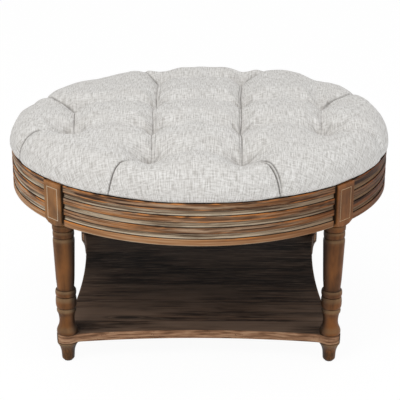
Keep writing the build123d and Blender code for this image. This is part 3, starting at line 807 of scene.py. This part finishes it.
# Hollowed sides: flare into the corners, distance of the middle from the centre, radius, soft edge
SHELF_FLARE, SHELF_WAIST, SHELF_SIDE_R, SHELF_SOFT = 0.034, 0.262, 1.716, 0.0016
PLANK_WIDTH, PLANK_START = 0.0905, 0.31


def shelf_outline():
    """Plan outline of the shelf: four shallow hollows that flare into corners rounded round the legs."""
    axis = LEG_CIRCLE / math.sqrt(2)
    corner_r, inner_r, centre = SHELF_HIGH.x - axis, SHELF_SIDE_R - SHELF_FLARE, SHELF_WAIST + SHELF_SIDE_R
    gap, to_leg = math.hypot(axis - centre, axis), math.atan2(axis, axis - centre)
    bend = math.acos((inner_r ** 2 + gap ** 2 - (corner_r + SHELF_FLARE) ** 2) / (2 * inner_r * gap))
    aim = to_leg + bend
    flare_x, flare_y = centre + inner_r * math.cos(aim), inner_r * math.sin(aim)
    round_from = math.atan2(flare_y - axis, flare_x - axis)
    side = [(centre - math.sqrt(SHELF_SIDE_R ** 2 - y ** 2), y)
            for y in np.linspace(0, SHELF_SIDE_R * math.sin(aim), 31)]
    side += [(flare_x + SHELF_FLARE * math.cos(t), flare_y + SHELF_FLARE * math.sin(t))
             for t in np.linspace(aim, round_from + math.pi, 9)[1:]]
    side += [(axis + corner_r * math.cos(t), axis + corner_r * math.sin(t))
             for t in np.linspace(round_from, math.pi / 4, 13)[1:]]
    side = [(x, -y) for x, y in side[:0:-1]] + side
    return np.array([spun(x, y, turn) for turn in QUARTERS for x, y in side[:-1]])


def shelf_material():
    """Dark planked top with streaks along X and a knot, a browner pitted edge, painted light in front and
    shade behind.
    """
    s = Shader("shelf_wood")
    where = s.node("TexCoord").outputs["Object"]
    x, y, z = s.node("SeparateXYZ", {0: where}).outputs
    planks = s.times(s.plus(y, PLANK_START), 1 / PLANK_WIDTH)
    plank, in_plank = s.math("FLOOR", planks), s.math("FRACT", planks)
    tone = s.node("TexWhiteNoise", {"W": plank}, noise_dimensions="1D").outputs["Value"]
    shifted = s.node("CombineXYZ", {0: s.plus(x, s.times(plank, 0.37)), 1: y, 2: z}).outputs[0]
    streak = s.noise(s.stretch(shifted, (6.5, 92, 60)), detail=5, rough=0.62, distortion=0.5)
    broad = s.noise(s.stretch(shifted, (4.0, 15, 10)))
    fine = s.noise(s.stretch(shifted, (22, 480, 200)))
    stained = s.ramp(streak, (0.41, (0.009, 0.005, 0.003)), (0.5, (0.027, 0.0155, 0.0098)),
                     (0.6, (0.074, 0.044, 0.028)))
    colour = s.coats(stained, (s.ramp(broad, (0.47, 0), (0.63, 0.8)), (0.092, 0.06, 0.042)),
                     (s.ramp(broad, (0.36, 0.65), (0.48, 0)), (0.012, 0.007, 0.005)),
                     (s.times(tone, 0.15), (0.02, 0.013, 0.01)))
    # Painted light and shade: lighter towards the front, darker towards the back under the seat
    back = s.fade(y, -0.2, 0.08)
    painted_front_light = s.mix(1, colour, (0.5, 0.5, 0.5), blend="DIVIDE")
    colour = s.mix(s.math("SUBTRACT", 1, back), colour, painted_front_light)
    colour = s.mix(back, colour, (0.76, 0.74, 0.72), blend="MULTIPLY")
    knot_at = s.node("Mapping", {"Vector": where, "Location": (0.7, 4.05, 0), "Scale": (4.6, 20, 0)})
    knot_far = s.node("VectorMath", {0: knot_at.outputs[0]}, operation="LENGTH").outputs["Value"]
    knot_ring = s.ramp(knot_far, (0, 0.9), (0.1, 0.85), (0.16, 0.15), (0.2, 0.5), (0.26, 0))
    joint = s.ramp(in_plank, (0, 0.75), (0.01, 0.75), (0.02, 0))
    edge_grain = s.noise(s.stretch(where, (26, 26, 260)))
    edge_colour = s.ramp(edge_grain, (0.36, (0.15, 0.075, 0.04)), (0.5, (0.297, 0.158, 0.088)),
                         (0.66, (0.44, 0.265, 0.16)))
    pits = s.node("TexVoronoi", {"Vector": where, "Scale": 190.0}).outputs["Distance"]
    pitted = s.ramp(s.noise(where, scale=22), (0.5, 0), (0.58, 1))
    pit_here = s.times(s.ramp(pits, (0.12, 0.9), (0.22, 0)), pitted)
    edge_colour = s.mix(pit_here, edge_colour, (0.03, 0.018, 0.012))
    colour = s.coats(colour, (s.ramp(fine, (0.55, 0), (0.66, 0.7)), (0.15, 0.105, 0.078)),
                     (knot_ring, (0.012, 0.008, 0.006)), (joint, (0.004, 0.003, 0.002)),
                     (s.mark("edge"), edge_colour))
    height = s.math("SUBTRACT", s.plus(streak, s.times(fine, 0.4)), s.times(joint, 2))
    return s.finish(colour, s.ramp(streak, (0.3, 0.8), (0.7, 0.68)), s.bump(height, 0.3, 0.001),
                    Specular_IOR_Level=0.12)


def make_shelf():
    """Planked shelf with softened edges; its faces are a little smaller than the outline."""
    outline, face_share = shelf_outline(), 0.985
    along = np.roll(outline, -1, axis=0) - np.roll(outline, 1, axis=0)
    along /= np.maximum(np.hypot(*along.T), 1e-9)[:, None]
    outward = np.stack([along[:, 1], -along[:, 0]], axis=1)
    rings = [(inset, SHELF_Z + rise) for inset, rise in soft_edge(SHELF_SOFT)]
    rings += [(inset, SHELF_TOP - rise) for inset, rise in soft_edge(SHELF_SOFT, back=True)]
    points, edge = [(x * face_share, y * face_share, SHELF_Z) for x, y in outline], [0.0] * len(outline)
    for i, (inset, z) in enumerate(rings):
        for (x, y), (nx, ny) in zip(outline, outward):
            points.append((x - inset * nx, y - inset * ny, z))
            # Painted shade: edges that do not face the front take little of the edge finish
            edge.append((1.0 if i < len(rings) - 1 else 0.75) * (1.0 if ny < -0.55 else 0.15))
    points += [(x * face_share, y * face_share, SHELF_TOP) for x, y in outline]
    edge += [0.0] * len(outline)
    faces = grid_faces(len(rings) + 2, len(outline), capped=True)
    piece = make_piece("planked_shelf", points, faces, shelf_material(), None, {"edge": edge}, sharp_angle=50)
    finish_piece(piece, "shelf_wood", "shelf")


# Underside and hidden parts

def make_dust_cover():
    """Black dust cloth under the seat, a little slack between its staples."""
    low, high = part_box("dust_cover")
    edge_r = high.x
    sag, pucker, waves, rings, around = 0.0032, 0.0006, 24, 24, 96
    s = Shader("dust_cloth")
    fibres = s.grain((420, 420, 60), detail=4, rough=0.7)
    colour = s.ramp(fibres, (0.35, (0.01, 0.01, 0.01)), (0.65, (0.04, 0.039, 0.038)))
    cloth = s.finish(colour, 0.95, s.bump(fibres, 0.3, 0.0004), Specular_IOR_Level=0.15)
    points = [(0, 0, low.z - sag)]
    for i in range(1, rings + 1):
        out = i / rings
        for turn in once_round(around):
            hang = sag * (1 - out ** 2) + pucker * math.sin(waves * turn) * out ** 6 * (1 - out) * 8
            points.append((*polar(edge_r * out, turn), low.z - hang))
    faces = [(0, 1 + (j + 1) % around, 1 + j) for j in range(around)]
    faces += grid_faces(rings, around, start=1)
    piece = make_piece("dust_cloth", points, faces, cloth)
    thick = piece.modifiers.new("Thickness", "SOLIDIFY")
    thick.thickness, thick.offset = 0.0005, 0
    finish_piece(piece, "dust_cloth", "dust_cover")
    make_staples(edge_r - 0.006, low.z)


def make_staples(radius, cloth_z):
    """Ring of wire staples that hold the dust cloth, each a bent square wire."""
    count, wire_half, thick = 28, 0.0005, 0.0005
    half, crown_half, inner_share = 0.0052, 0.0046, 0.0044 / 0.0052
    leg_z, bend_z, crown_z = cloth_z + 0.0006, cloth_z - 0.0005, cloth_z - 0.0009
    bends = ((-half, leg_z), (-half, bend_z), (-crown_half, crown_z),
             (crown_half, crown_z), (half, bend_z), (half, leg_z))
    points, faces = [], []
    for turn in once_round(count, 0.5):
        faces += grid_faces(len(bends), 4, start=len(points))
        for along, z in bends:
            inner = along * inner_share
            for run, across, level in ((along, -wire_half, z), (along, wire_half, z),
                                       (inner, wire_half, z + thick), (inner, -wire_half, z + thick)):
                points.append((*spun(radius + across, run, turn), level))
    finish_piece(make_piece("staples", points, faces, steel_material(), sharp_angle=40), "steel")


def steel_material():
    """Zinc plated steel with faint mottling."""
    s = Shader("plated_steel")
    spots = s.grain((260, 260, 260))
    colour = s.ramp(spots, (0.35, (0.42, 0.41, 0.38)), (0.65, (0.6, 0.59, 0.55)))
    return s.finish(colour, s.ramp(spots, (0.3, 0.34), (0.7, 0.48)), Metallic=1)


def plain_wood(name, source_scale, low, high):
    """Unfinished hidden wood with a plain grain."""
    s = Shader(name)
    grain = s.grain(source_scale, detail=4, rough=0.6, distortion=0.3)
    colour = s.ramp(grain, (0.34, low), (0.66, high))
    return s.finish(colour, 0.72, s.bump(grain, 0.2, 0.0006), Specular_IOR_Level=0.3)


def small_material(name, low, high, rough):
    """Plain moulded or woven small part with a fine mottle."""
    s = Shader(name)
    spots = s.grain((300, 300, 300))
    return s.finish(s.ramp(spots, (0.3, low), (0.7, high)), rough, s.bump(spots, 0.2, 0.0003))


def dress_hidden_nodes():
    """Materials for the CAD nodes that stay as they are."""
    brace = plain_wood("brace_wood", (60, 60, 9), (0.26, 0.165, 0.095), (0.44, 0.3, 0.185))
    steel = steel_material()
    choice = {"seat_board": plain_wood("plywood", (8, 90, 400), (0.3, 0.2, 0.115), (0.5, 0.36, 0.22)),
              "tufting_ties": small_material("tie_tape", (0.52, 0.5, 0.45), (0.66, 0.64, 0.58), 0.9),
              "glides": small_material("glide", (0.012, 0.012, 0.012), (0.028, 0.027, 0.026), 0.5),
              "apron_tenons": brace}
    for name in ("leg_screws", "foot_screws", "brace_bolts", "brace_screws", "seat_screws"):
        choice[name] = steel
    for corner in CORNERS:
        choice[f"corner_brace_{corner}"] = brace
    for name, material in choice.items():
        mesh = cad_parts[name].data
        mesh.materials.clear()
        mesh.materials.append(material)


# Stage

FLOOR_HALF, FLOOR_GREY, FLOOR_GLOW, GLOW_SHARE, SKY = 30, 0.9, 1.02, 0.93, 0.62
# Lamps: place, size, power and colour
LAMPS = {"key": ((-1.5, -1.9, 2.6), 1.6, 34, (1, 0.985, 0.96)),
         "fill": ((2.2, -1.6, 1.5), 1.8, 14, (0.97, 0.985, 1)),
         "top": ((0.1, 0.6, 3.0), 2.0, 7, (1, 1, 1))}
LAMP_AIM = (0, 0, 0.35)
CAMERA_PLACE, CAMERA_LENS, CAMERA_SENSOR = (0.002, -2.4812, 1.1987), 108.34, 36
CAMERA_DOWN, CAMERA_ROLL = 20.935, 0.146


def make_floor():
    """Pale floor that shows white to the camera and still takes a shadow."""
    s = Shader("pale_floor")
    path = s.node("LightPath")
    seen = s.math("MAXIMUM", path.outputs["Is Camera Ray"],
                  s.math("MAXIMUM", path.outputs["Is Glossy Ray"], path.outputs["Is Transmission Ray"]))
    matt = s.node("BsdfDiffuse", {"Color": (*[FLOOR_GREY] * 3, 1)}).outputs[0]
    white = s.node("Emission", {"Color": (1, 1, 1, 1), "Strength": FLOOR_GLOW}).outputs[0]
    mixed = s.node("MixShader", {0: s.times(seen, GLOW_SHARE), 1: matt, 2: white}).outputs[0]
    s.put(s.tree.nodes["Material Output"].inputs["Surface"], mixed)
    corners = [(x * FLOOR_HALF, y * FLOOR_HALF, 0) for x, y in ((-1, -1), (1, -1), (1, 1), (-1, 1))]
    make_piece("floor", corners, [(0, 1, 2, 3)], s.owner)


def make_surroundings():
    """White for the camera and through clear things, softer as a light."""
    s = Shader("Surroundings", world=True)
    bpy.context.scene.world = s.owner
    path = s.node("LightPath")
    seen = s.math("MAXIMUM", path.outputs["Is Camera Ray"], path.outputs["Is Transmission Ray"])
    strength = s.node("MapRange", {"Value": seen, "To Min": SKY, "To Max": 1.0}).outputs[0]
    background = s.tree.nodes["Background"]
    s.put(background.inputs["Color"], (1, 1, 1, 1))
    s.put(background.inputs["Strength"], strength)


def make_lamps():
    """Soft round lamps that look at the table."""
    for name, (place, size, power, colour) in LAMPS.items():
        lamp = bpy.data.lights.new(name, "AREA")
        lamp.shape, lamp.size, lamp.energy, lamp.color = "DISK", size, power, colour
        holder = bpy.data.objects.new(name, lamp)
        bpy.context.scene.collection.objects.link(holder)
        holder.location = place
        aim = np.subtract(LAMP_AIM, place)
        holder.rotation_euler = Euler((math.atan2(math.hypot(aim[0], aim[1]), -aim[2]), 0,
                                       math.atan2(aim[1], aim[0]) - math.pi / 2))


def make_camera():
    """Camera that stands before the table and looks a little down."""
    camera = bpy.data.objects.new("camera", bpy.data.cameras.new("camera"))
    bpy.context.scene.collection.objects.link(camera)
    camera.location = CAMERA_PLACE
    pitch, roll = Euler((math.radians(90 - CAMERA_DOWN), 0, 0)), Euler((0, 0, math.radians(CAMERA_ROLL)))
    camera.rotation_euler = (pitch.to_matrix() @ roll.to_matrix()).to_euler()
    camera.data.sensor_width, camera.data.lens = CAMERA_SENSOR, CAMERA_LENS
    bpy.context.scene.camera = camera


make_cushion()
make_aprons()
make_blocks()
make_shelf()
make_dust_cover()
dress_hidden_nodes()
make_floor()
make_surroundings()
make_lamps()
make_camera()
bpy.context.scene.view_settings.view_transform = "Standard"
bpy.context.view_layer.update()
